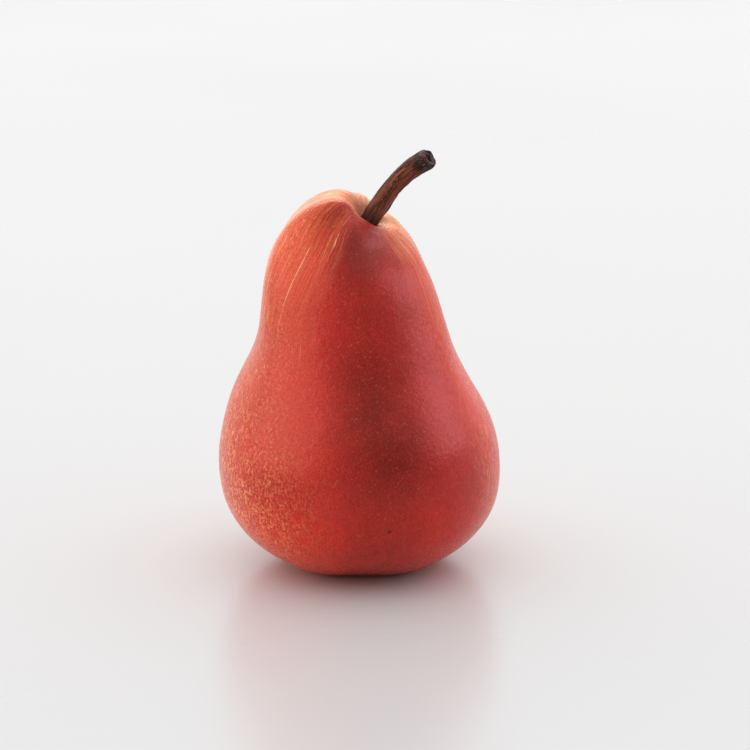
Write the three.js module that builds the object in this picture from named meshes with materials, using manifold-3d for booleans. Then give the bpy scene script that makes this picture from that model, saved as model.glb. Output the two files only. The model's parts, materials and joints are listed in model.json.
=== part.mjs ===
// A ripe red pear standing on its base, in millimetres, with +Z up.
// The fruit grew as one solid body. Its woody stem stands in a pit in the crown, and the dried calyx sits in
// the basin underneath. The fruit's front faces -Y, and the origin lies under the middle of the whole pear, on
// the surface that it stands on.
import * as THREE from "three";
import { mergeVertices } from "three/addons/utils/BufferGeometryUtils.js";
import Module from "manifold-3d";

const { degToRad, lerp, smoothstep } = THREE.MathUtils;
const UP = new THREE.Vector3(0, 0, 1);
const TOWARDS_BACK = new THREE.Vector3(0, 1, 0);

// Driving dimensions of the fruit. Directions round it are in degrees: 0 is right, 90 back, 180 left, 270 front.
const BELLY_RADIUS = 34.9;
const BELLY_HEIGHT = 27;
const CROWN_HEIGHT = 88.9;
const SIDES = 80; // faces round the fruit
const SPAN_STEPS = 2; // rings to each span of the profile
const DEPTH_SHARE = 0.97; // the fruit is a little flatter from front to back

// The whole body leans to the left on its way up, and a little forwards.
const LEAN_LEFT = 4.8;
const LEAN_FORWARD = 1.6;
const FOOT_TO_RIGHT = 0.8;

// The crown tips down to the right and a little to the front, with the stem's pit in the middle of its tipped
// top. Directions that the crown and the stem's foot lean in, and how far from upright.
const CROWN_LEAN = { towards: -26, by: 34 };
const STEM_LEAN = { towards: 8, by: 32 };
const PIT_MIDDLE = new THREE.Vector3(2.3, -2.2, 87.4);
const PIT_RADIUS = 2.75;

// Radius and height of the fruit's round profile, from the calyx pit up over the belly and into the stem's pit.
const PROFILE = [
  [0, 8.8],
  [1.8, 8.7],
  [2.6, 8],
  [2.8, 6.6],
  [4.2, 5.6],
  [6.4, 4.4],
  [8.6, 2.6],
  [10.4, 1.2],
  [12.4, 0.7],
  [14.6, 1.1],
  [17.8, 2.3],
  [21.8, 3.8],
  [26, 6.2],
  [29.6, 9.7],
  [32.4, 13.9],
  [34.3, 19.6],
  [BELLY_RADIUS, BELLY_HEIGHT],
  [33.8, 34],
  [31.2, 40.5],
  [28.1, 46.5],
  [25.3, 52.5],
  [23.2, 59],
  [21.4, 66],
  [19.6, 73],
  [17.1, 79],
  [13.8, 84],
  [10.4, 87.5],
  [7.6, CROWN_HEIGHT],
  [5.3, 89],
  [3.6, 88.4],
  [PIT_RADIUS, 87.2],
  [PIT_RADIUS, 84.2],
  [2, 83],
  [0, 82.9],
];

// Five soft ribs run up the fruit. Each has its direction at the base and at the neck, and its swelling in
// millimetres at the base, on the belly, on the neck and on the crown.
const RIBS = [
  { base: 234, neck: 203, swelling: [1.5, 0.7, 1.2, 2.4] }, // front left
  { base: 308, neck: 350, swelling: [1.6, 0.7, 1.1, 0.1] }, // front right
  { base: 14, neck: 40, swelling: [1.9, 0.5, 0.6, 0.6] }, // back right
  { base: 90, neck: 106, swelling: [1.4, 0.5, 0.6, 1.7] }, // back
  { base: 162, neck: 146, swelling: [1.4, 0.6, 0.8, 2] }, // back left
];
const RIB_HEIGHTS = [3, 30, 66, 86];
const RIB_WIDTHS = [21, 21, 18, 15]; // degrees from a rib's crest to the shoulder of its swelling
const RIBS_SPREAD = [34, 74]; // heights between which the ribs move round from base to neck

// One-off swellings and hollows: direction, height, reach round and up, and depth, where plus is outwards.
const SWELLINGS = [
  { at: 172, height: 47, round: 26, up: 6.5, out: 1.5 }, // the belly's shoulder behind the left side of the neck
  { at: 196, height: 57.5, round: 24, up: 4.5, out: -0.6 }, // the crease above that shoulder
  { at: 262, height: 62, round: 20, up: 22, out: -0.5 }, // the faint valley down the front
  { at: 350, height: 80, round: 18, up: 7, out: 1.1 }, // the neck's right shoulder, on the front right rib
  { at: 5, height: 46, round: 35, up: 14, out: 0.5 },
  { at: 318, height: 86.5, round: 26, up: 3.5, out: -1.4 }, // the crown falls away at its front right
  { at: 12, height: 83.5, round: 26, up: 3.5, out: 1.7 }, // and swells at its right
];

// The stem's middle line above the pit, as offsets from the pit's middle, and how deep its foot is sunk.
const STEM_LINE = [
  [0, 0, 0],
  [2.9, 0.5, 4],
  [7.1, 0.9, 9.3],
  [11.2, 0, 13.3],
  [14.8, -1.7, 15.9],
];
const STEM_SUNK = 4;
// Radius of the stem and the distance along it. Its end swells a little, and is broken off round a sunk pith.
const STEM_PROFILE = [
  [0, 0],
  [1.5, 0],
  [2.1, 0.5],
  [2.25, 2.5],
  [2.3, 4.5],
  [2.45, 7],
  [2.5, 9.5],
  [2.35, 12.5],
  [2.3, 16],
  [2.4, 19.5],
  [2.55, 22.5],
  [2.65, 24.6],
  [2.55, 26],
  [2.2, 26.8],
  [1.7, 26.9],
  [1.2, 26.2],
  [0, 25.8],
];
const STEM_SIDES = 20;

// The calyx: a cup sunk in the basin, with a ring of dried sepals and a tuft of withered stamens. Radius and
// height of the cup's profile, and the middle lines of a sepal and a stamen that point along +X.
const CUP_PROFILE = [
  [0, 6.8],
  [1.2, 6.4],
  [1.6, 5],
  [2.2, 4.6],
  [2.5, 5.1],
  [2.1, 6],
  [2, 7.6],
  [1.5, 8.1],
  [0, 8.1],
];
const SEPALS = 5;
const SEPAL_LINE = [
  [1.5, 0, 5.3],
  [3, 0, 4.7],
  [4.6, 0, 3.9],
  [5.8, 0, 2.6],
];
const SEPAL_HALF_WIDTH = 1.5;
const SEPAL_THICKNESS = 0.8;
const STAMENS = 7;
const STAMEN_LINE = [
  [0.5, 0, 7],
  [0.9, 0, 5.2],
  [1.4, 0, 3.4],
];
const STAMEN_RADIUS = 0.36;

const wrap = (degrees) => ((((degrees + 180) % 360) + 360) % 360) - 180;
const bell = (distance, reach) => Math.exp(-0.5 * (distance / reach) ** 2);

// Value at a height on a line through the given values, level beyond both ends and smooth between them.
function along(heights, values, height) {
  const next = heights.findIndex((h) => h > height);
  if (next === -1) return values.at(-1);
  if (next === 0) return values[0];
  return lerp(values[next - 1], values[next], smoothstep(height, heights[next - 1], heights[next]));
}

// A closed solid of revolution about +Z, smooth through the given radii and heights.
function turned(points, sides) {
  const curve = new THREE.CatmullRomCurve3(
    points.map(([r, z]) => new THREE.Vector3(r, z, 0)),
    false,
    "centripetal",
  );
  const profile = curve.getPoints((points.length - 1) * SPAN_STEPS);
  profile[0].x = 0;
  profile.at(-1).x = 0;
  return new THREE.LatheGeometry(profile, sides).rotateX(Math.PI / 2);
}

// Moves every vertex of a geometry to where the rule puts it.
function reshaped(geometry, rule) {
  const place = geometry.getAttribute("position");
  const point = new THREE.Vector3();
  for (let i = 0; i < place.count; i++) {
    rule(point.fromBufferAttribute(place, i));
    place.setXYZ(i, point.x, point.y, point.z);
  }
  geometry.computeVertexNormals();
  return geometry;
}

function ribSwelling(direction, height) {
  const spread = smoothstep(height, ...RIBS_SPREAD);
  const width = along(RIB_HEIGHTS, RIB_WIDTHS, height);
  return RIBS.reduce((sum, rib) => {
    const crest = rib.base + wrap(rib.neck - rib.base) * spread;
    return sum + along(RIB_HEIGHTS, rib.swelling, height) * bell(wrap(direction - crest), width);
  }, 0);
}

function oneOffSwelling(direction, height) {
  return SWELLINGS.reduce(
    (sum, s) => sum + s.out * bell(wrap(direction - s.at), s.round) * bell(height - s.height, s.up),
    0,
  );
}

// Middle of the fruit's section at a height, as it leans.
function middleAt(height) {
  const share = (height / CROWN_HEIGHT) ** 2;
  return new THREE.Vector2(FOOT_TO_RIGHT - LEAN_LEFT * share, -LEAN_FORWARD * share);
}

// The turn that leans +Z over by an angle towards a direction.
function leaning({ towards, by }) {
  const axis = new THREE.Vector3(-Math.sin(degToRad(towards)), Math.cos(degToRad(towards)), 0);
  return new THREE.Quaternion().setFromAxisAngle(axis, degToRad(by));
}

const crownTurn = leaning(CROWN_LEAN);
const stemTurn = leaning(STEM_LEAN);

function fruitGeometry() {
  return reshaped(turned(PROFILE, SIDES), (p) => {
    const radius = Math.hypot(p.x, p.y);
    const height = p.z;
    const round = Math.atan2(p.y, p.x);
    const direction = (round * 180) / Math.PI;
    const offPole = smoothstep(radius, 3, 9);

    // The ribs swell outwards on the sides, upwards on the crown and downwards under the base.
    const swelling = (ribSwelling(direction, height) + oneOffSwelling(direction, height)) * offPole;
    const upwards = smoothstep(height, 72, 86) * (1 - smoothstep(radius, 6, 19));
    const downwards = (1 - smoothstep(height, 0, 9)) * (1 - smoothstep(radius, 10, 30));
    const slant = ((upwards - downwards) * Math.PI) / 2;
    const reach = radius + swelling * Math.cos(slant);
    p.x = reach * Math.cos(round);
    p.y = reach * Math.sin(round) * lerp(1, DEPTH_SHARE, smoothstep(radius, 4, 20));
    p.z = height + swelling * Math.sin(slant);

    // Up the neck the middle leans, and on the crown it moves across to the pit.
    const middle = middleAt(height);
    const crown = smoothstep(height, 62, 84) * (1 - smoothstep(radius, 5, 21.5));
    p.x += lerp(middle.x, PIT_MIDDLE.x, crown);
    p.y += lerp(middle.y, PIT_MIDDLE.y, crown);

    // The crown tips over, and inside the pit the wall follows the stem's foot.
    const inPit = height > 70 ? 1 - smoothstep(radius, 3, 5.5) : 0;
    const turn = new THREE.Quaternion().slerp(crownTurn, crown).slerp(stemTurn, inPit);
    p.sub(PIT_MIDDLE).applyQuaternion(turn).add(PIT_MIDDLE);
    p.z = Math.max(p.z, 0); // the ribs under the base are pressed flat where the fruit stands
  });
}

// Bends a solid that stands on +Z along a curve, with its length in step with the curve's.
function bentAlong(geometry, curve) {
  geometry.computeBoundingBox();
  const length = geometry.boundingBox.max.z;
  return reshaped(geometry, (p) => {
    const share = Math.max(p.z, 0) / length;
    const ahead = curve.getTangentAt(share);
    const side = TOWARDS_BACK.clone().cross(ahead).normalize();
    const out = side.clone().multiplyScalar(p.x).addScaledVector(ahead.cross(side), p.y);
    p.copy(curve.getPointAt(share)).add(out);
  });
}

function lineThrough(points) {
  return new THREE.CatmullRomCurve3(points.map((point) => new THREE.Vector3(...point)));
}

// The stem is not quite round: it is ribbed lengthwise like any twig.
function stemGeometry() {
  const foot = UP.clone().applyQuaternion(stemTurn).multiplyScalar(-STEM_SUNK).toArray();
  const solid = reshaped(turned(STEM_PROFILE, STEM_SIDES), (p) => {
    const round = Math.atan2(p.y, p.x) + p.z * 0.02;
    const girth = 1 + 0.035 * Math.cos(2 * round) + 0.025 * Math.cos(5 * round + 1);
    p.set(p.x * girth, p.y * girth, p.z);
  });
  return bentAlong(solid, lineThrough([foot, ...STEM_LINE])).translate(...PIT_MIDDLE.toArray());
}

// A spindle of the given half width and thickness, bent along a line and turned round +Z.
function spindle(line, halfWidth, thickness, direction) {
  const length = lineThrough(line).getLength();
  const profile = [
    [0, 0],
    [0.6, 0.06],
    [0.95, 0.3],
    [0.9, 0.6],
    [0.45, 0.92],
    [0, 1],
  ].map(([r, share]) => [r * halfWidth, share * length]);
  const solid = turned(profile, 12).scale(thickness / 2 / halfWidth, 1, 1);
  return bentAlong(solid, lineThrough(line)).rotateZ(degToRad(direction));
}

async function calyxGeometry() {
  const wasm = await Module();
  wasm.setup();
  const solidOf = (geometry) => {
    geometry.deleteAttribute("normal");
    geometry.deleteAttribute("uv");
    const merged = mergeVertices(geometry, 1e-4);
    return new wasm.Manifold(
      new wasm.Mesh({
        numProp: 3,
        vertProperties: new Float32Array(merged.getAttribute("position").array),
        triVerts: new Uint32Array(merged.index.array),
      }),
    );
  };
  let solid = solidOf(turned(CUP_PROFILE, 32));
  for (let i = 0; i < SEPALS; i++) {
    const direction = (360 / SEPALS) * i + 20;
    solid = solid.add(solidOf(spindle(SEPAL_LINE, SEPAL_HALF_WIDTH, SEPAL_THICKNESS, direction)));
  }
  for (let i = 0; i < STAMENS; i++) {
    const direction = (360 / STAMENS) * i;
    solid = solid.add(solidOf(spindle(STAMEN_LINE, STAMEN_RADIUS, STAMEN_RADIUS * 2, direction)));
  }
  const mesh = solid.translate(FOOT_TO_RIGHT, 0, 0).getMesh();
  const geometry = new THREE.BufferGeometry();
  geometry.setAttribute("position", new THREE.BufferAttribute(mesh.vertProperties, 3));
  geometry.setIndex(new THREE.BufferAttribute(mesh.triVerts, 1));
  geometry.computeVertexNormals();
  return geometry;
}

function piece(name, geometry, material) {
  const mesh = new THREE.Mesh(geometry, new THREE.MeshStandardMaterial({ metalness: 0, ...material }));
  mesh.name = name;
  return mesh;
}

const fruit = piece("fruit", fruitGeometry(), { name: "skin", color: 0xa82f2a, roughness: 0.4 });
const stem = piece("stem", stemGeometry(), { name: "stem", color: 0x3f241b, roughness: 0.75 });
const calyx = piece("calyx", await calyxGeometry(), { name: "calyx", color: 0x3a2a1c, roughness: 0.9 });

const pear = new THREE.Group();
pear.name = "pear";
pear.add(fruit, stem, calyx);

// The origin goes under the middle of the whole pear.
const box = new THREE.Box3().setFromObject(pear, true);
const middle = box.getCenter(new THREE.Vector3());
pear.position.set(-middle.x, -middle.y, -box.min.z);

export default pear;
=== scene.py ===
"""The looks of a ripe red pear: its streaked waxy skin, barky stem and dried calyx, on a pale stage.

Lengths in the tables are in millimetres unless they say otherwise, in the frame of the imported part, with
+Z up and the front at -Y.
"""

import json
import math

import bpy
from bpy.props import FloatProperty, FloatVectorProperty, IntProperty, PointerProperty
from bpy.types import Operator, Panel, PropertyGroup
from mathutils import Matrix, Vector, noise

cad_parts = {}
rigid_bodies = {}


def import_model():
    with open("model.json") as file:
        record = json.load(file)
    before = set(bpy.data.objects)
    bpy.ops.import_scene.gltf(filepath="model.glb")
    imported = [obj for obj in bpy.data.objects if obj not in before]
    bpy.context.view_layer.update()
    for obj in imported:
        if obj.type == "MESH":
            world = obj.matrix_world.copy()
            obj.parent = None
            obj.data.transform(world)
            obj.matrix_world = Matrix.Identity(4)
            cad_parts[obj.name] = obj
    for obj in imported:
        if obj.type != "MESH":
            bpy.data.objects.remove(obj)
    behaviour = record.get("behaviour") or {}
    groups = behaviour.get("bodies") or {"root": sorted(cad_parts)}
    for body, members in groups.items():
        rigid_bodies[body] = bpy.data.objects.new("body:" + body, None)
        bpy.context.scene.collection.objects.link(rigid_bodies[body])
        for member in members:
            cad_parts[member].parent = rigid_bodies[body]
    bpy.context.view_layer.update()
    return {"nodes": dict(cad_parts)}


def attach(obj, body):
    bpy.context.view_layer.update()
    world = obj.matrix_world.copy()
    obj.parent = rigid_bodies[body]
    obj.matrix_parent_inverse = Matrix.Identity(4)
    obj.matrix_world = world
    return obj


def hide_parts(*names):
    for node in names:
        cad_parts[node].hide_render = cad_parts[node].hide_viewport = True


bl_info = {
    "name": "Red pear",
    "version": (1, 0, 0),
    "blender": (4, 5, 0),
    "location": "View3D > Sidebar > Pear",
    "description": "Models and paints a ripe red pear with its stem and calyx on a pale stage",
    "category": "Object",
}

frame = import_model()

MM = 0.001
PIT = Vector((1.79, -2.25, 87.4))  # middle of the mouth of the stem's pit
CALYX_MIDDLE = Vector((0.29, -0.05, 0))
CROWN_TOP = 94.9  # top of the highest lobe
LEAN_LEFT, LEAN_FORWARD = 4.8, 1.6  # how far the fruit's middle has moved at the height of full lean
FULL_LEAN = 88.9
NECK_END, CROWN_START = 62, 84  # between them the fruit's middle passes to the pit

# The grain runs from the pit down the sides and in under the base to the calyx.
BASE_RADIUS, BASE_HEIGHT = 30, 12
GRAIN_LENGTH = 400  # length of grain that counts as 1 in the skin's patterns

DENT_SIZE = 14  # width of the soft dents in the skin

# The stem's middle line, from its foot at the bottom of the pit to its broken end.
STEM_LINE = [
    (0.1, -2.55, 84.0),
    (2.25, -2.25, 87.4),
    (4.95, -1.75, 91.4),
    (8.9, -1.35, 96.7),
    (13.0, -2.25, 100.7),
    (16.6, -3.95, 103.3),
]
# Distance along the stem and its radius there. It flares towards the broken end.
STEM_GIRTH = [
    (0, 1.4),
    (0.5, 2.1),
    (2.5, 2.25),
    (4.5, 2.3),
    (7, 2.45),
    (9.5, 2.5),
    (12.5, 2.35),
    (16, 2.3),
    (19.5, 2.4),
    (22.5, 2.55),
    (24.6, 2.65),
    (26, 2.6),
    (26.8, 2.3),
]
# The broken end: a rim of bark, a ledge of wood and the sunk pith.
STEM_END = [(26.9, 1.95), (26.5, 1.6), (26.7, 1.2), (26.1, 0.8), (24.9, 0.55)]
STEM_STEP = 0.7  # longest stretch of bark between two rings of faces
STEM_RADIUS = 2.4  # its usual radius, which the bark's pattern is scaled by
STEM_OVAL = 0.035  # how far its section is from round, as a share of its radius
STEM_INSIDE, STEM_OUTSIDE = 1.3, 2.1  # between these radii the wood passes into wrinkled bark
RAGGED_FROM, RAGGED_TO = 25.8, 26.9  # the stretch of the stem where its end gets ragged
RAGGED_DEPTH = 0.35

# A sepal's middle line, as distance from the calyx's middle and height, and its half width there.
SEPAL_LINE = [(1.3, 5.6), (2.6, 5.0), (3.9, 4.3), (5.0, 3.4), (5.8, 2.6)]
SEPAL_HALF_WIDTHS = [1.15, 1.45, 1.3, 0.85, 0.2]
SEPAL_CURL = 0.14  # rise of its sides into the basin, by the square of their distance from its middle
STAMEN_LINE = [(0.5, 6.9), (0.8, 5.6), (1.2, 4.4), (1.7, 3.5)]
STAMEN_HALF_WIDTHS = [0.22, 0.2, 0.18, 0.34]
STAMEN_THICKNESS = 0.45
SEPALS, STAMENS = 5, 11
SEPAL_TURN, STAMEN_TURN = 20, 5  # where round the calyx the first one is, in degrees
SEPAL_WAVE, STAMEN_WAVE = 0.3, 0.5  # how far withering has bent them
HUSK_LOWEST = 2.4  # the sepals stay this far above the surface that the pear stands on
# The calyx's cup, as heights and radii from its foot in the flesh, down its outside and up its inside.
CUP_LINE = [
    (8.0, 1.4),
    (7.5, 2.0),
    (6.2, 2.1),
    (5.2, 2.45),
    (4.7, 2.1),
    (5.2, 1.7),
    (6.4, 1.2),
    (6.8, 0.5),
]

# Patterns of the skin, as how many of each go to a metre.
BROAD_PATCHES, PATCHES, PEBBLES, PORES = 60, 300, 750, 620
FLECKS, MOTTLING, SPECKLES = 1650, 1900, 2700

# Patches of painted shade, on the belly partly the skin's own brownish mottling, and pale and orange
# patches of the skin: the middle of each and its radii.
BELLY_SHADES = [((3.5, -32, 47), (17, 32, 32)), ((8, -33, 38), (18, 32, 22))]
PIT_SHADE = ((0, -13, 82), (12, 20, 19))
CREST_SHADE = ((-6, -10, 91), (9, 9, 10))
RIGHT_SHOULDER = ((13, -3, 87), (11, 13, 12))
ORANGE_LOBE = ((-3, -1, 88), (8, 8, 8))

# Middles of the smaller marks.
YELLOW_LOBE = (7, 6, 87)
SPECK = (7.5, -33.0, 18.0)
SCUFF = (16.2, -30.0, 21.5)
BRUISE = (-13.9, -29.0, 48.4)
BASIN = CALYX_MIDDLE + Vector((0, 0, 5.5))


# Small helpers.


def lerp(a, b, share):
    return a + (b - a) * share


def ease(value, low, high):
    """0 below low, 1 above high, and smooth between them."""
    share = min(max((value - low) / (high - low), 0), 1)
    return share * share * (3 - 2 * share)


def alone(piece):
    """Makes a piece the only one that an operator acts on."""
    bpy.ops.object.select_all(action="DESELECT")
    piece.select_set(True)
    bpy.context.view_layer.objects.active = piece


def finished(piece, kind, **settings):
    """Adds a modifier with these settings and applies it."""
    alone(piece)
    bpy.ops.object.modifier_add(type=kind)
    modifier = piece.modifiers[-1]
    for name, value in settings.items():
        setattr(modifier, name, value)
    bpy.ops.object.modifier_apply(modifier=modifier.name)


def sculpted(piece, rule):
    """Moves every point of a piece to where the rule puts it, in millimetres."""
    for vertex in piece.data.vertices:
        vertex.co = rule(vertex.co / MM) * MM


def noted(piece, name, rule):
    """Keeps a vector at every point of a piece, for its material to read."""
    attribute = piece.data.attributes.new(name, "FLOAT_VECTOR", "POINT")
    for vertex, item in zip(piece.data.vertices, attribute.data):
        item.vector = rule(vertex.co / MM)


def drawn_out(start, end):
    """Extrudes the chosen face from one height and radius to another, in millimetres."""
    (low, thin), (high, wide) = start, end
    bpy.ops.mesh.extrude_region_move(
        TRANSFORM_OT_translate={"value": (0, 0, (high - low) * MM)}
    )
    bpy.ops.transform.resize(
        value=(wide / thin, wide / thin, 1), center_override=(0, 0, high * MM)
    )


def closed_up(piece):
    """Merges doubled points and turns every face outwards."""
    alone(piece)
    bpy.ops.object.mode_set(mode="EDIT")
    bpy.ops.mesh.select_all(action="SELECT")
    bpy.ops.mesh.remove_doubles(threshold=0.002 * MM)
    bpy.ops.mesh.normals_make_consistent(inside=False)
    bpy.ops.object.mode_set(mode="OBJECT")


def settled(piece, name, material):
    """Names a finished piece, gives it its material and lets it ride on the pear."""
    alone(piece)
    bpy.ops.object.transform_apply(location=True, rotation=True, scale=True)
    bpy.ops.object.shade_smooth()
    piece.name = piece.data.name = name
    piece.data.materials.clear()
    piece.data.materials.append(material)
    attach(piece, "root")
    return piece


# Materials.


def colour(*rgb):
    """An sRGB colour, from 0 to 255, as the linear one that nodes take."""
    linear = [
        c / 255 / 12.92 if c < 11 else ((c / 255 + 0.055) / 1.055) ** 2.4 for c in rgb
    ]
    return (*linear, 1.0)


def opaque(tone):
    """A colour from the settings, as nodes take it."""
    return (*tone, 1.0)


# Colours of the smaller marks on the skin, the bark, the husk and the floor, and of the painted bounce
# light low on the fruit and the painted shade at the stem's foot.
# Painted bounce light from the floor, on the lowest band of the fruit.
PAINTED_BOUNCE_RED = colour(226, 62, 46)
CROWN_YELLOW = colour(208, 166, 104)
CROWN_ORANGE = colour(214, 108, 66)
SPECK_BROWN = colour(70, 22, 20)
SCUFF_PINK = colour(225, 150, 120)
RUSSET = colour(196, 126, 82)
BASIN_BROWN = colour(132, 92, 44)
# Gold flecks of the bark, laid thicker on the painted highlight of its upper side.
BARK_GOLD = colour(176, 112, 70)
# Black of the broken end, also laid as painted shade at the stem's foot.
BARK_BLACK = colour(20, 11, 14)
FIBRE_GREY = colour(150, 128, 122)
VEIN_TAN = colour(150, 118, 80)
FLOOR_GREY = colour(200, 200, 205)


class Finish:
    """A material's node tree, with short names for the nodes that the finishes are mixed from."""

    def __init__(self, name):
        self.material = bpy.data.materials.new(name)
        self.material.use_nodes = True
        self.tree = self.material.node_tree
        self.shader = self.tree.nodes["Principled BSDF"]
        self.place = self.node("ShaderNodeTexCoord").outputs["Object"]
        self.base = None

    def node(self, kind, inputs=None, **settings):
        made = self.tree.nodes.new(kind)
        for name, value in settings.items():
            setattr(made, name, value)
        for name, value in (inputs or {}).items():
            self.feed(made.inputs[name], value)
        return made

    def feed(self, socket, value):
        if isinstance(value, bpy.types.NodeSocket):
            self.tree.links.new(value, socket)
        else:
            socket.default_value = value

    def set(self, **values):
        """Sets or links the shader's own sockets, named with _ for a space."""
        for name, value in values.items():
            self.feed(self.shader.inputs[name.replace("_", " ")], value)

    def noted(self, name):
        """The vector that was kept at every point of the piece under this name."""
        return self.node("ShaderNodeAttribute", attribute_name=name).outputs["Vector"]

    def scaled(self, vector, scale, shift=(0, 0, 0)):
        inputs = {"Vector": vector, "Scale": scale, "Location": shift}
        return self.node("ShaderNodeMapping", inputs).outputs["Vector"]

    def cloud(self, vector, scale, detail=2.0, roughness=0.5, distortion=0.0):
        """Noise between 0 and 1, mostly near a half."""
        inputs = {
            "Vector": vector,
            "Scale": scale,
            "Detail": detail,
            "Roughness": roughness,
            "Distortion": distortion,
        }
        return self.node("ShaderNodeTexNoise", inputs).outputs["Fac"]

    def cells(self, vector, scale):
        """Cells spread at random: the distance from each one's middle, and a colour of its own."""
        node = self.node("ShaderNodeTexVoronoi", {"Vector": vector, "Scale": scale})
        return node.outputs["Distance"], node.outputs["Color"]

    def ramp(self, value, low, high, out_low=0.0, out_high=1.0):
        """Goes smoothly from out_low at low to out_high at high, and no further."""
        inputs = {
            "Value": value,
            "From Min": low,
            "From Max": high,
            "To Min": out_low,
            "To Max": out_high,
        }
        node = self.node("ShaderNodeMapRange", inputs, interpolation_type="SMOOTHSTEP")
        return node.outputs["Result"]

    def worked(self, operation, values):
        """Works the first two values together, then the result with the next, and so on."""
        result = values[0]
        for value in values[1:]:
            inputs = {0: result, 1: value}
            result = self.node("ShaderNodeMath", inputs, operation=operation).outputs[0]
        return result

    def sum(self, *values):
        return self.worked("ADD", values)

    def product(self, *values):
        return self.worked("MULTIPLY", values)

    def most(self, *values):
        return self.worked("MAXIMUM", values)

    def opposite(self, value):
        return self.worked("SUBTRACT", (1.0, value))

    def mix(self, share, a, b):
        node = self.node("ShaderNodeMix", {0: share, 6: a, 7: b}, data_type="RGBA")
        return node.outputs[2]

    def lay(self, tone, *shares):
        """Lays a colour over the base, as thick as the product of the shares."""
        self.base = self.mix(self.product(*shares), self.base, tone)

    def parts(self, vector):
        node = self.node("ShaderNodeSeparateXYZ", {0: vector})
        return node.outputs[0], node.outputs[1], node.outputs[2]

    def near(self, point, radius, soft=0.5):
        """1 within a radius of a point on the pear, in millimetres, fading out over a share of it."""
        inputs = {0: self.place, 1: [c * MM for c in point]}
        gap = self.node("ShaderNodeVectorMath", inputs, operation="DISTANCE").outputs["Value"]
        return self.ramp(gap, radius * MM * (1 - soft), radius * MM, 1.0, 0.0)

    def oval(self, point, radii):
        """1 in the middle of an oval patch of the pear, in millimetres, fading to 0 at its edge."""
        scale = [1 / (r * MM) for r in radii]
        shift = [-c / r for c, r in zip(point, radii)]
        inputs = {0: self.scaled(self.place, scale, shift)}
        gap = self.node("ShaderNodeVectorMath", inputs, operation="LENGTH").outputs["Value"]
        return self.ramp(gap, 0.0, 1.0, 1.0, 0.0)

    def bump(self, height, depth, strength=1.0):
        """Relief from a height between 0 and 1, that many millimetres deep."""
        inputs = {"Height": height, "Distance": depth * MM, "Strength": strength}
        self.set(Normal=self.node("ShaderNodeBump", inputs).outputs["Normal"])


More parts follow.
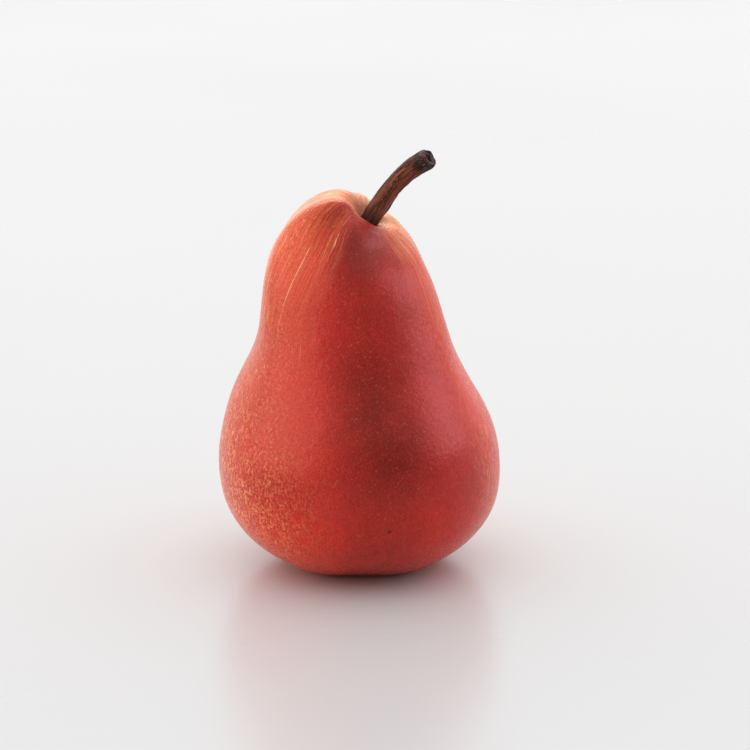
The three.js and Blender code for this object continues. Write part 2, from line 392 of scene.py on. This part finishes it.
class SkinFinish(Finish):
    """Waxy red skin with a paler ground that shows in fine streaks from stem to calyx."""

    def __init__(self, skin):
        super().__init__("waxy_skin")
        self.skin = skin
        self.ground = opaque(skin.ground)
        self.shade = opaque(skin.shade)
        self.amber = opaque(skin.amber)
        self.cream = opaque(skin.cream)

        # Where a point is: which way round the pear, and how high.
        self.grain = self.noted("grain")
        self.right, self.back, _ = self.parts(self.grain)
        self.x, _, self.height = self.parts(self.place)
        self.left = self.ramp(self.right, -0.35, -1.0)
        self.left_edge = self.ramp(self.right, -0.72, -0.98)
        self.right_edge = self.ramp(self.right, 0.76, 1.0)
        self.behind = self.ramp(self.back, 0.0, 0.8)
        self.neck = self.rise(50, 84)
        self.low = self.rise(30, 10)
        self.low_left = self.product(self.rise(50, 16), self.ramp(self.right, -0.05, -0.85))

        # The patterns that more than one kind of marking follows.
        self.broad = self.cloud(self.place, BROAD_PATCHES, 2, 0.5)
        self.patch = self.cloud(self.place, PATCHES, 2, 0.5)
        self.mottle = self.cloud(self.place, MOTTLING, 3, 0.7)
        self.speckle = self.cloud(self.scaled(self.place, (1, 1, 0.7)), SPECKLES, 2, 0.6)
        self.fine = self.along_grain(2.2, (3, 1, 2), 110, 2, 0.6)
        self.bands = self.along_grain(0.3, (4, 4, 8), 36, 3, 0.65, 0.3)

    def rise(self, low, high, out_low=0.0, out_high=1.0):
        """A ramp between two heights on the pear, in millimetres."""
        return self.ramp(self.height, low * MM, high * MM, out_low, out_high)

    def along_grain(self, squeeze, shift, *settings):
        """Noise that follows the grain, drawn out along it where squeeze is small."""
        return self.cloud(self.scaled(self.grain, (1, 1, squeeze), shift), *settings)

    def lay_blush(self):
        """The blush, deepest in front and thinner at the sides, the back, the crown and the base; the
        clearer red low down, strongest on the lowest band, is painted bounce light from the floor, and the
        right edge gets the same clearer red.
        """
        warm = self.sum(
            self.product(self.left, self.rise(45, 70, 0.05, 0.2)),
            self.product(self.left_edge, 0.22),
            self.product(self.behind, 0.26),
            self.product(self.behind, self.rise(80, 93), 0.5),
        )
        self.base = opaque(self.skin.blush)
        # Painted bounce light from the floor: a clearer red low on the fruit; the right edge gets the same
        # red.
        self.lay(opaque(self.skin.bright), self.most(self.product(self.low, 0.8), self.right_edge))
        self.lay(self.amber, warm, self.ramp(self.broad, 0.2, 0.8, 0.75, 1.25))
        # Painted bounce light on the lowest band, just above the floor.
        self.lay(PAINTED_BOUNCE_RED, self.rise(13, 3, 0.0, 0.6))
        self.lay(self.shade, self.ramp(self.broad, 0.35, 0.7, 0.0, 0.2), self.opposite(self.low))
        self.lay(self.amber, self.ramp(self.fine, 0.3, 0.7, 0.0, 0.12))
        self.lay(self.shade, self.ramp(self.patch, 0.35, 0.65, 0.0, 0.12))

    def lay_shade(self):
        """Brownish painted shade down the front, deepest on the belly right of its middle, under the crest
        and below the pit, where it also darkens the sky's reflection; on the belly it is partly the skin's
        own brownish mottling.
        """
        front = self.product(
            self.ramp(self.x, -9 * MM, 2 * MM),
            self.ramp(self.x, 20 * MM, 8 * MM),
            self.ramp(self.back, 0.2, -0.4),
            0.35,
        )
        belly = [self.oval(*patch) for patch in BELLY_SHADES]
        crest = self.product(self.oval(*CREST_SHADE), 0.9)
        deep = self.most(*belly, self.oval(*PIT_SHADE), crest, front)
        self.lay(self.shade, deep, self.ramp(self.patch, 0.25, 0.6, 0.85, 1.0))

    def lay_grain(self):
        """Darker and paler points all over, and flecks of the ground, thickest low on the left."""
        grit = self.sum(0.2, self.product(self.left, 0.25), self.product(self.right_edge, 0.2))
        pale = self.sum(0.05, self.product(self.left, 0.08))
        self.lay(self.shade, self.ramp(self.speckle, 0.48, 0.7), grit)
        self.lay(self.cream, self.ramp(self.speckle, 0.5, 0.3), pale)

        flecks = self.cloud(self.scaled(self.place, (1, 1, 0.75)), FLECKS, 3, 0.75)
        thick = self.sum(
            self.product(self.low_left, 0.48),
            self.product(self.left, self.ramp(self.neck, 0.0, 1.0, 0.3, 0.1)),
            self.product(self.behind, 0.15),
            self.product(self.right_edge, 0.15),
        )
        uneven = self.ramp(self.patch, 0.35, 0.6, 0.3, 1.0)
        self.lay(self.ground, self.ramp(flecks, 0.49, 0.6), thick, uneven)
        self.lay(self.shade, self.ramp(flecks, 0.47, 0.38), self.low_left, 0.3)

    def lay_dashes(self):
        """Short dashes along the grain, at both sides, low down on the left and at the back."""
        dashes = self.along_grain(3.0, (7, 5, 1), 80, 2, 0.6)
        thick = self.sum(
            self.product(self.left_edge, 0.8),
            self.product(self.right_edge, self.ramp(self.broad, 0.3, 0.7, 0.25, 0.65)),
            self.product(self.low_left, 0.45),
            self.product(self.behind, self.ramp(self.broad, 0.4, 0.65, 0.05, 0.3)),
        )
        self.lay(self.amber, self.ramp(dashes, 0.46, 0.6), self.right_edge, 0.5)
        self.lay(self.ground, self.ramp(dashes, 0.56, 0.66), thick, self.skin.streaks)

    def lay_crown(self):
        """The cream lobes behind the stem, with bands of the blush that run into the pit, and a painted
        rim of light in cream down the far left edge of the neck.
        """
        high = self.rise(48, 92)
        pale = self.product(high, high, high, self.ramp(self.back, -0.55, 0.15))
        # A painted rim of light: cream on the far left edge of the neck.
        left_rim_light = self.product(self.ramp(self.right, -0.92, -1.0), self.rise(60, 80))
        pale = self.most(pale, left_rim_light, self.oval(*RIGHT_SHOULDER))
        self.lay(self.cream, pale, self.ramp(self.bands, 0.4, 0.6, 0.1, 0.9))
        self.lay(CROWN_YELLOW, self.near(YELLOW_LOBE, 12, 0.8), 0.7)
        self.lay(CROWN_ORANGE, self.oval(*ORANGE_LOBE), 0.9)

    def lay_streaks(self):
        """Long fine streaks that fan out from the stem at both sides and break up down the neck."""
        sides = self.most(self.ramp(self.right, -0.3, -0.65), self.ramp(self.right, 0.5, 0.9))
        fan = self.product(self.neck, sides)
        lines = self.along_grain(0.3, (2, 8, 4), 40, 3, 0.6)
        broken = self.along_grain(1.6, (6, 2, 5), 48, 3, 0.65)
        line = self.product(self.ramp(lines, 0.53, 0.66), self.ramp(broken, 0.44, 0.58))
        self.lay(self.cream, line, fan, self.skin.streaks)
        self.lay(self.amber, self.ramp(self.bands, 0.42, 0.6), fan, 0.45)

    def lay_marks(self):
        """A pale line along the front of the pit's lip, breathing pores, scars, and russet in the pit and
        in the basin.
        """
        lip = self.product(self.near(PIT, 3.8, 0.12), self.opposite(self.near(PIT, 3.1, 0.12)))
        self.lay(self.cream, lip, self.ramp(self.back, 0.1, -0.3), 0.8)

        gap, tint = self.cells(self.place, PORES)
        size, _, _ = self.parts(tint)
        self.pore = self.product(self.ramp(gap, 0.1, 0.2, 1.0, 0.0), self.ramp(size, 0.4, 0.6))
        self.lay(opaque(self.skin.pore), self.pore, 0.2)

        self.lay(SPECK_BROWN, self.near(SPECK, 0.8), 0.7)
        self.lay(SCUFF_PINK, self.near(SCUFF, 0.6), 0.5)
        self.lay(self.shade, self.near(BRUISE, 1.7, 1.0), 0.6)
        self.lay(RUSSET, self.near(PIT, 3.3, 0.4), self.ramp(self.mottle, 0.3, 0.6, 0.35, 0.9))
        self.lay(BASIN_BROWN, self.near(BASIN, 7.5, 0.6), 0.8)

    def wax(self):
        """The gloss and fine relief of the skin's wax."""
        gloss = self.skin.gloss
        self.set(
            Base_Color=self.base,
            Roughness=self.ramp(self.mottle, 0.3, 0.7, gloss - 0.05, gloss + 0.07),
            IOR=1.44,
            Specular_Tint=opaque(self.skin.sheen),
            Subsurface_Weight=0.05,
            Subsurface_Radius=(0.004, 0.0012, 0.0008),
            Subsurface_Scale=0.5,
        )
        relief = self.sum(
            self.product(self.speckle, 0.4),
            self.cloud(self.place, PEBBLES, 2, 0.5),
            self.product(self.fine, 0.3),
            self.product(self.pore, -0.35),
        )
        self.bump(relief, 0.2, 0.5)


def skin_finish(skin):
    finish = SkinFinish(skin)
    finish.lay_blush()
    finish.lay_shade()
    finish.lay_grain()
    finish.lay_dashes()
    finish.lay_crown()
    finish.lay_streaks()
    finish.lay_marks()
    finish.wax()
    return finish.material


def bark_finish(bark):
    """Dark purple-brown bark, paler on its ridges, with a painted highlight that leaves its upper side
    paler and richer in gold flecks; black at its broken end, and black painted shade at its foot in the
    pit.
    """
    f = Finish("stem_bark")
    run = f.noted("run")
    across, _, along = f.parts(run)
    wrinkles = f.cloud(f.scaled(run, (1, 1, 0.35)), 5.0, 4, 0.65)
    flecks = f.cloud(run, 11.0, 3, 0.7)
    patches = f.cloud(f.scaled(run, (1, 1, 0.8), (4, 2, 1)), 1.6, 2, 0.5)

    worn = f.ramp(f.sum(f.product(wrinkles, 0.6), f.product(patches, 0.4)), 0.4, 0.6)
    # Painted highlight: the upper side is laid paler and with more gold flecks.
    upper = f.ramp(across, 0.2, -0.8)
    end = f.ramp(along, 2.15, 2.5)
    # Painted shade at the stem's foot, down in the pit.
    foot = f.ramp(along, 0.85, 0.45)
    f.base = opaque(bark.dark)
    f.lay(opaque(bark.light), worn, f.sum(0.45, f.product(upper, 0.55)))
    f.lay(BARK_GOLD, f.ramp(flecks, 0.58, 0.68), f.sum(0.2, f.product(upper, 0.4)))
    f.lay(BARK_BLACK, f.most(end, f.product(foot, 0.8)), 0.88)
    f.lay(FIBRE_GREY, f.ramp(along, 2.45, 2.6), f.ramp(flecks, 0.54, 0.62), 0.6)
    f.set(
        Base_Color=f.base,
        Roughness=f.ramp(wrinkles, 0.35, 0.65, 0.7, 0.45),
        IOR=1.45,
        Specular_IOR_Level=0.25,
        Specular_Tint=(1.0, 0.8, 0.72, 1.0),
    )
    f.bump(f.sum(f.product(wrinkles, 0.7), f.product(flecks, 0.3)), 0.35, 0.8)
    return f.material


def husk_finish(husk):
    """Dry, brittle sepals and stamens."""
    f = Finish("dry_calyx")
    mottle = f.cloud(f.place, 900, 4, 0.7)
    veins = f.cloud(f.place, 2600, 2, 0.6)
    f.base = opaque(husk.dark)
    f.lay(opaque(husk.light), f.ramp(mottle, 0.35, 0.65))
    f.lay(VEIN_TAN, f.ramp(veins, 0.5, 0.7, 0.0, 0.4))
    f.set(Base_Color=f.base, Roughness=f.ramp(mottle, 0.3, 0.7, 0.95, 0.75))
    f.bump(f.sum(mottle, veins), 0.2, 0.7)
    return f.material


def floor_finish(stage):
    """A smooth pale board that reflects the pear softly."""
    f = Finish("pale_floor")
    mottle = f.cloud(f.place, 2, 2, 0.5)
    f.base = opaque(stage.tone)
    f.lay(FLOOR_GREY, f.ramp(mottle, 0.3, 0.7, 0.0, 0.03))
    f.set(Base_Color=f.base, Roughness=f.ramp(mottle, 0.3, 0.7, 0.24, 0.28), IOR=1.9)
    return f.material


# Settings that a user would change.


def tone(name, description, *rgb):
    return FloatVectorProperty(
        name=name,
        description=description,
        subtype="COLOR",
        size=3,
        min=0,
        max=1,
        default=colour(*rgb)[:3],
    )


class PearSkin(PropertyGroup):
    levels: IntProperty(
        name="Smoothing",
        description="How often the fruit's faces are divided",
        default=2,
        min=1,
        max=2,
    )
    relief: FloatProperty(
        name="Relief",
        description="Depth of the soft dents that the skin has all over",
        default=0.35 * MM,
        unit="LENGTH",
    )
    gloss: FloatProperty(
        name="Roughness",
        description="How dull the wax on the skin is",
        default=0.27,
        min=0.1,
        max=0.9,
        subtype="FACTOR",
    )
    streaks: FloatProperty(
        name="Streaks",
        description="How far the ground shows through the blush",
        default=0.85,
        min=0,
        max=1,
        subtype="FACTOR",
    )
    blush: tone("Blush", "Red of the ripe skin", 168, 37, 37)
    # Low on the fruit this clear red is painted bounce light from the floor.
    bright: tone("Bright", "Clear red low on the fruit and at its right", 202, 40, 34)
    # This red is laid as painted shade down the front and below the pit, and as the skin's own darker
    # patches, points and spots.
    shade: tone("Shade", "Brownish red of the darkest patches", 108, 27, 23)
    amber: tone("Amber", "Orange where the blush is thin", 206, 88, 50)
    ground: tone("Ground", "Yellow-orange of the flecks and dashes", 230, 152, 100)
    cream: tone("Cream", "Pale ground of the streaks and of the crown's back", 226, 186, 148)
    pore: tone("Pores", "Colour of the small breathing pores", 206, 112, 86)
    sheen: tone("Sheen", "Tint of the wax where light falls on it straight", 255, 168, 152)


class PearStem(PropertyGroup):
    sides: IntProperty(
        name="Sides", description="Faces round the stem", default=32, min=12, max=64
    )
    wrinkle: FloatProperty(
        name="Wrinkles",
        description="Depth of the bark's lengthwise wrinkles",
        default=0.22 * MM,
        unit="LENGTH",
    )
    dark: tone("Bark", "Colour of the bark's hollows", 44, 19, 18)
    # Also laid as the painted highlight on the stem's upper side.
    light: tone("Bark ridges", "Colour of the bark's worn ridges", 112, 56, 38)


class PearCalyx(PropertyGroup):
    thickness: FloatProperty(
        name="Sepal thickness",
        description="Thickness of a dried sepal",
        default=0.6 * MM,
        unit="LENGTH",
    )
    dark: tone("Husk", "Colour of the husk's hollows", 46, 32, 22)
    light: tone("Husk edges", "Colour of the husk's dry edges", 104, 78, 52)


class PearStage(PropertyGroup):
    lens: FloatProperty(
        name="Lens", description="The camera's focal length", default=110, unit="CAMERA"
    )
    left_light: FloatProperty(
        name="Left light",
        description="Power of the large soft light on the left",
        default=18.5,
        unit="POWER",
    )
    right_light: FloatProperty(
        name="Right light",
        description="Power of the smaller soft light on the right",
        default=7.5,
        unit="POWER",
    )
    back_light: FloatProperty(
        name="Back light",
        description="Power of the soft light above and behind",
        default=9.0,
        unit="POWER",
    )
    sky: FloatProperty(
        name="Surroundings",
        description="Strength of the even light from above and behind",
        default=1.12,
        min=0,
    )
    gloom: FloatProperty(
        name="Gloom",
        description="Strength of the light from the dim side, where the camera stands",
        default=0.17,
        min=0,
    )
    tone: tone("Backdrop", "Colour of the floor and backdrop", 230, 230, 230)


# The fruit.


def middle_line(height):
    """Middle of the fruit at a height: it leans up the neck, and on the crown it is the stem's pit."""
    share = (min(height, FULL_LEAN) / FULL_LEAN) ** 2
    neck = Vector((CALYX_MIDDLE.x - LEAN_LEFT * share, -LEAN_FORWARD * share, 0))
    return neck.lerp(PIT, ease(height, NECK_END, CROWN_START))


def grain_at(point):
    """Which way round the fruit a point is, as two parts, and how far down from the stem it is."""
    out = point - middle_line(point.z)
    out.z = 0
    reach = out.length
    out = out.normalized() if reach > 1e-6 else Vector((1, 0, 0))
    down = CROWN_TOP - point.z + reach * ease(point.z, NECK_END, CROWN_START)
    down += (BASE_RADIUS - min(reach, BASE_RADIUS)) * (1 - ease(point.z, 0, BASE_HEIGHT))
    return Vector((out.x, out.y, down / GRAIN_LENGTH))


class PEAR_OT_fruit(Operator):
    """Model the fruit's skin over the CAD fruit and paint it"""

    bl_idname = "pear.fruit"
    bl_label = "Fruit"

    def execute(self, context):
        skin = context.scene.pear_skin
        alone(frame["nodes"]["fruit"])
        bpy.ops.object.duplicate()
        piece = context.object
        piece.parent = None
        for key in list(piece.keys()):
            del piece[key]

        # The copy's loose triangles become one smooth surface of four-sided faces.
        bpy.ops.object.mode_set(mode="EDIT")
        bpy.ops.mesh.select_all(action="SELECT")
        bpy.ops.mesh.remove_doubles(threshold=0.005 * MM)
        bpy.ops.mesh.tris_convert_to_quads(
            face_threshold=math.radians(60), shape_threshold=math.radians(60)
        )
        bpy.ops.object.mode_set(mode="OBJECT")
        finished(piece, "SUBSURF", levels=skin.levels, render_levels=skin.levels)

        # Soft dents, as growth leaves them, level where the fruit stands.
        dents = bpy.data.textures.new("soft_dents", "CLOUDS")
        dents.noise_scale = DENT_SIZE * MM
        finished(
            piece,
            "DISPLACE",
            texture=dents,
            texture_coords="LOCAL",
            mid_level=0.5,
            strength=skin.relief,
        )
        sculpted(piece, lambda p: Vector((p.x, p.y, max(p.z, 0))))
        noted(piece, "grain", grain_at)
        settled(piece, "fruit_skin", skin_finish(skin))
        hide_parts("fruit")
        return {"FINISHED"}


# The stem.


def stem_curve():
    bpy.ops.curve.primitive_bezier_curve_add()
    curve = bpy.context.object
    curve.location = (0, 0, 0)
    spline = curve.data.splines[0]
    spline.bezier_points.add(len(STEM_LINE) - 2)
    for point, place in zip(spline.bezier_points, STEM_LINE):
        point.handle_left_type = point.handle_right_type = "AUTO"
        point.co = Vector(place) * MM
    curve.data.resolution_u = 32
    curve.data.twist_mode = "MINIMUM"
    return curve


class PEAR_OT_stem(Operator):
    """Model the woody stem with its wrinkled bark and broken end"""

    bl_idname = "pear.stem"
    bl_label = "Stem"

    def execute(self, context):
        bark = context.scene.pear_stem
        bpy.ops.object.select_all(action="DESELECT")
        bpy.ops.mesh.primitive_circle_add(
            vertices=bark.sides,
            radius=STEM_GIRTH[0][1] * MM,
            fill_type="NGON",
            location=(0, 0, 0),
        )
        piece = context.object

        # The stem is modelled upright, ring by ring, and bent along its middle line afterwards.
        bpy.ops.object.mode_set(mode="EDIT")
        bpy.ops.mesh.select_all(action="SELECT")
        top = STEM_GIRTH[0]
        for (low, thin), (high, wide) in zip(STEM_GIRTH, STEM_GIRTH[1:]):
            steps = max(round((high - low) / STEM_STEP), 1)
            for i in range(1, steps + 1):
                ring = (lerp(low, high, i / steps), lerp(thin, wide, i / steps))
                drawn_out(top, ring)
                top = ring
        for ring in STEM_END:
            drawn_out(top, ring)
            top = ring
        bpy.ops.object.mode_set(mode="OBJECT")
        finished(piece, "SUBSURF", levels=1, render_levels=1)
        closed_up(piece)

        # Round the stem, and along it in centimetres, for the bark's pattern.
        noted(piece, "run", lambda p: Vector((p.x / STEM_RADIUS, p.y / STEM_RADIUS, p.z / 10)))
        deep = bark.wrinkle / MM

        def barky(p):
            """Wrinkles along the stem, knobs, a slightly oval section and a ragged end."""
            out = Vector((p.x, p.y, 0))
            radius = out.length
            if radius < 1e-6:
                return p
            out.normalize()
            outer = ease(radius, STEM_INSIDE, STEM_OUTSIDE)
            run = Vector((out.x * 2.6, out.y * 2.6, p.z * 0.16))
            wrinkle = noise.noise(run) + 0.5 * noise.noise(run * 2.3 + Vector((5, 1, 2)))
            lump = Vector((out.x * 1.2, out.y * 1.2, p.z * 0.35)) + Vector((9, 4, 7))
            knob = 0.8 * noise.noise(lump)
            oval = STEM_OVAL * math.cos(2 * math.atan2(out.y, out.x) + 0.8)
            move = outer * (wrinkle * deep + knob * deep + radius * oval)
            rough = noise.noise(Vector((p.x, p.y, 3)) * 0.9)
            ragged = ease(p.z, RAGGED_FROM, RAGGED_TO) * rough * RAGGED_DEPTH
            return p + out * move + Vector((0, 0, ragged))

        sculpted(piece, barky)
        curve = stem_curve()
        finished(piece, "CURVE", object=curve, deform_axis="POS_Z")
        bpy.data.objects.remove(curve)
        closed_up(piece)
        settled(piece, "stem_bark", bark_finish(bark))
        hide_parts("stem")
        return {"FINISHED"}


# The calyx.


class PEAR_OT_calyx(Operator):
    """Model the dried calyx: a cup, curled sepals and withered stamens"""

    bl_idname = "pear.calyx"
    bl_label = "Calyx"

    def cup(self):
        foot, radius = CUP_LINE[0]
        bpy.ops.object.select_all(action="DESELECT")
        bpy.ops.mesh.primitive_circle_add(
            vertices=24, radius=radius * MM, fill_type="NGON", location=(0, 0, foot * MM)
        )
        bpy.ops.object.mode_set(mode="EDIT")
        bpy.ops.mesh.select_all(action="SELECT")
        for start, end in zip(CUP_LINE, CUP_LINE[1:]):
            drawn_out(start, end)
        bpy.ops.object.mode_set(mode="OBJECT")
        piece = bpy.context.object
        finished(piece, "SUBSURF", levels=2, render_levels=2)
        return piece

    def blade(self, line, half_widths, thickness):
        """A thin tapered blade that points along +X, from a strip extruded along its line."""
        bpy.ops.object.select_all(action="DESELECT")
        bpy.ops.mesh.primitive_plane_add(size=1, location=(0, 0, 0))
        piece = bpy.context.object
        bpy.ops.object.mode_set(mode="EDIT")
        bpy.ops.mesh.select_all(action="SELECT")
        bpy.ops.mesh.delete(type="ONLY_FACE")
        bpy.ops.object.mode_set(mode="OBJECT")
        mesh = piece.data
        # One edge of the plane is kept, and is drawn out along the line.
        for vertex in mesh.vertices:
            vertex.select = vertex.co.x > 0
        bpy.ops.object.mode_set(mode="EDIT")
        bpy.ops.mesh.delete(type="VERT")
        bpy.ops.object.mode_set(mode="OBJECT")
        (r, z), half = line[0], half_widths[0]
        for vertex in mesh.vertices:
            vertex.co = (r * MM, math.copysign(half, vertex.co.y) * MM, z * MM)
            vertex.select = True
        bpy.ops.object.mode_set(mode="EDIT")
        bpy.ops.mesh.select_all(action="SELECT")
        for (r1, z1), wide in zip(line[1:], half_widths[1:]):
            bpy.ops.mesh.extrude_region_move(
                TRANSFORM_OT_translate={"value": ((r1 - r) * MM, 0, (z1 - z) * MM)}
            )
            bpy.ops.transform.resize(
                value=(1, wide / half, 1), center_override=(r1 * MM, 0, z1 * MM)
            )
            r, z, half = r1, z1, wide
        bpy.ops.mesh.select_all(action="SELECT")
        bpy.ops.mesh.subdivide(number_cuts=1)
        bpy.ops.object.mode_set(mode="OBJECT")
        closed_up(piece)
        finished(piece, "SOLIDIFY", thickness=thickness, offset=0)
        finished(piece, "SUBSURF", levels=2, render_levels=2)
        return piece

    def copies(self, piece, count, turn, bend):
        """Copies of a piece round the calyx, each withered in its own way."""
        made = []
        for i in range(count):
            copy = piece.copy()
            copy.data = piece.data.copy()
            bpy.context.scene.collection.objects.link(copy)
            angle = math.radians(turn + 360 / count * i)
            offset = Vector((i * 7.3, i * 3.1, 0))

            def withered(p, angle=angle, offset=offset):
                wave = noise.noise_vector(p * 0.55 + offset) * bend
                p = p + wave * ease(p.x, 1.2, 3.5) + Vector((0, 0, SEPAL_CURL * p.y * p.y))
                c, s = math.cos(angle), math.sin(angle)
                return Vector((c * p.x - s * p.y, s * p.x + c * p.y, max(p.z, HUSK_LOWEST)))

            sculpted(copy, withered)
            made.append(copy)
        bpy.data.objects.remove(piece)
        return made

    def execute(self, context):
        husk = context.scene.pear_calyx
        pieces = [self.cup()]
        sepal = self.blade(SEPAL_LINE, SEPAL_HALF_WIDTHS, husk.thickness)
        pieces += self.copies(sepal, SEPALS, SEPAL_TURN, SEPAL_WAVE)
        stamen = self.blade(STAMEN_LINE, STAMEN_HALF_WIDTHS, STAMEN_THICKNESS * MM)
        pieces += self.copies(stamen, STAMENS, STAMEN_TURN, STAMEN_WAVE)
        bpy.ops.object.select_all(action="DESELECT")
        for piece in pieces:
            piece.select_set(True)
        context.view_layer.objects.active = pieces[0]
        bpy.ops.object.join()
        calyx = context.object
        sculpted(calyx, lambda p: p + CALYX_MIDDLE)
        closed_up(calyx)
        settled(calyx, "dried_calyx", husk_finish(husk))
        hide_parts("calyx")
        return {"FINISHED"}


# The stage.

# Each soft light's name, place and size in metres, and tint. Its power is the setting of the same name.
SOFT_LIGHTS = [
    ("left_light", (-1.07, -0.55, 0.55), (1.5, 1.2), (1, 0.83, 0.72)),
    ("right_light", (1.2, -0.1, 0.62), (0.9, 0.7), (0.96, 0.77, 1.0)),
    ("back_light", (-0.1, 0.7, 1.0), (0.9, 0.6), (1, 0.92, 0.84)),
]
LIT_HEIGHT = 50  # the lights face the middle of the pear at this height
FLOOR_SIZE = 60  # in metres, so that its edge is out of sight
FLOOR_DROP = 0.02  # below the pear's flats, so that they don't share a plane with it
CAMERA_RISE = 15  # degrees above the floor
CAMERA_AWAY = 573
VIEW_MIDDLE = (3.9, 45)  # across and up, before the view is lifted by VIEW_LIFT
VIEW_LIFT = 3.03


def soft_light(name, place, size, power, tint, lit):
    """A soft box that faces the pear and lights nothing else, so that the floor stays even."""
    bpy.ops.object.light_add(type="AREA", location=place)
    light = bpy.context.object
    light.name = name
    light.data.shape = "RECTANGLE"
    light.data.size, light.data.size_y = size
    light.data.energy = power
    light.data.color = tint
    aim = Vector((0, 0, LIT_HEIGHT * MM)) - Vector(place)
    light.rotation_euler = aim.to_track_quat("-Z", "Y").to_euler()
    light.visible_camera = False
    light.light_linking.receiver_collection = lit


class PEAR_OT_stage(Operator):
    """Set the pale floor, the soft lights and the camera"""

    bl_idname = "pear.stage"
    bl_label = "Stage"

    def surroundings(self, stage):
        """Even light that is bright above and behind the pear, and dim on the camera's side."""
        world = bpy.data.worlds.new("surroundings")
        world.use_nodes = True
        tree = world.node_tree
        background = tree.nodes["Background"]
        background.inputs["Color"].default_value = (1, 1, 1, 1)
        direction = tree.nodes.new("ShaderNodeTexCoord").outputs["Generated"]
        rise = tree.nodes.new("ShaderNodeVectorMath")
        rise.operation = "DOT_PRODUCT"
        rise.inputs[1].default_value = (0, 1, 0.9)
        tree.links.new(direction, rise.inputs[0])
        ramp = tree.nodes.new("ShaderNodeMapRange")
        ramp.interpolation_type = "SMOOTHSTEP"
        for socket, value in zip(ramp.inputs[1:5], (-0.8, 0.5, stage.gloom, stage.sky)):
            socket.default_value = value
        tree.links.new(rise.outputs["Value"], ramp.inputs["Value"])
        tree.links.new(ramp.outputs["Result"], background.inputs["Strength"])
        return world

    def execute(self, context):
        stage = context.scene.pear_stage
        bpy.ops.object.select_all(action="DESELECT")
        bpy.ops.mesh.primitive_plane_add(size=FLOOR_SIZE, location=(0, 0, -FLOOR_DROP * MM))
        floor = context.object
        floor.name = "floor"
        floor.data.materials.append(floor_finish(stage))

        lit = bpy.data.collections.new("lit_by_soft_boxes")
        for piece in context.scene.objects:
            if piece.type == "MESH" and piece != floor:
                lit.objects.link(piece)
        for name, place, size, tint in SOFT_LIGHTS:
            soft_light(name, place, size, getattr(stage, name), tint, lit)

        context.scene.world = self.surroundings(stage)
        context.scene.view_settings.view_transform = "Standard"

        # The camera looks slightly down on the pear, which fills about half of the view's height.
        rise = math.radians(CAMERA_RISE)
        back = Vector((0, -math.cos(rise), math.sin(rise)))
        up = Vector((0, math.sin(rise), math.cos(rise)))
        aim = Vector((VIEW_MIDDLE[0] * MM, 0, VIEW_MIDDLE[1] * MM)) + up * VIEW_LIFT * MM
        bpy.ops.object.camera_add(location=aim + back * CAMERA_AWAY * MM)
        camera = context.object
        camera.rotation_euler = (-back).to_track_quat("-Z", "Y").to_euler()
        camera.data.lens = stage.lens
        camera.data.sensor_width = 36
        camera.data.clip_start = 0.01
        context.scene.camera = camera
        return {"FINISHED"}


class PEAR_PT_panel(Panel):
    """The pear's pieces and their sizes and colours"""

    bl_label = "Red pear"
    bl_idname = "PEAR_PT_panel"
    bl_space_type = "VIEW_3D"
    bl_region_type = "UI"
    bl_category = "Pear"

    def draw(self, context):
        scene = context.scene
        for operator, settings in [
            ("pear.fruit", scene.pear_skin),
            ("pear.stem", scene.pear_stem),
            ("pear.calyx", scene.pear_calyx),
            ("pear.stage", scene.pear_stage),
        ]:
            box = self.layout.box()
            box.operator(operator)
            for name in settings.__annotations__:
                box.prop(settings, name)


CLASSES = (
    PearSkin,
    PearStem,
    PearCalyx,
    PearStage,
    PEAR_OT_fruit,
    PEAR_OT_stem,
    PEAR_OT_calyx,
    PEAR_OT_stage,
    PEAR_PT_panel,
)


def register():
    for cls in CLASSES:
        bpy.utils.register_class(cls)
    bpy.types.Scene.pear_skin = PointerProperty(type=PearSkin)
    bpy.types.Scene.pear_stem = PointerProperty(type=PearStem)
    bpy.types.Scene.pear_calyx = PointerProperty(type=PearCalyx)
    bpy.types.Scene.pear_stage = PointerProperty(type=PearStage)


def unregister():
    for name in ("pear_skin", "pear_stem", "pear_calyx", "pear_stage"):
        delattr(bpy.types.Scene, name)
    for cls in reversed(CLASSES):
        bpy.utils.unregister_class(cls)


def main():
    register()
    bpy.ops.pear.fruit()
    bpy.ops.pear.stem()
    bpy.ops.pear.calyx()
    bpy.ops.pear.stage()


if __name__ == "__main__":
    main()
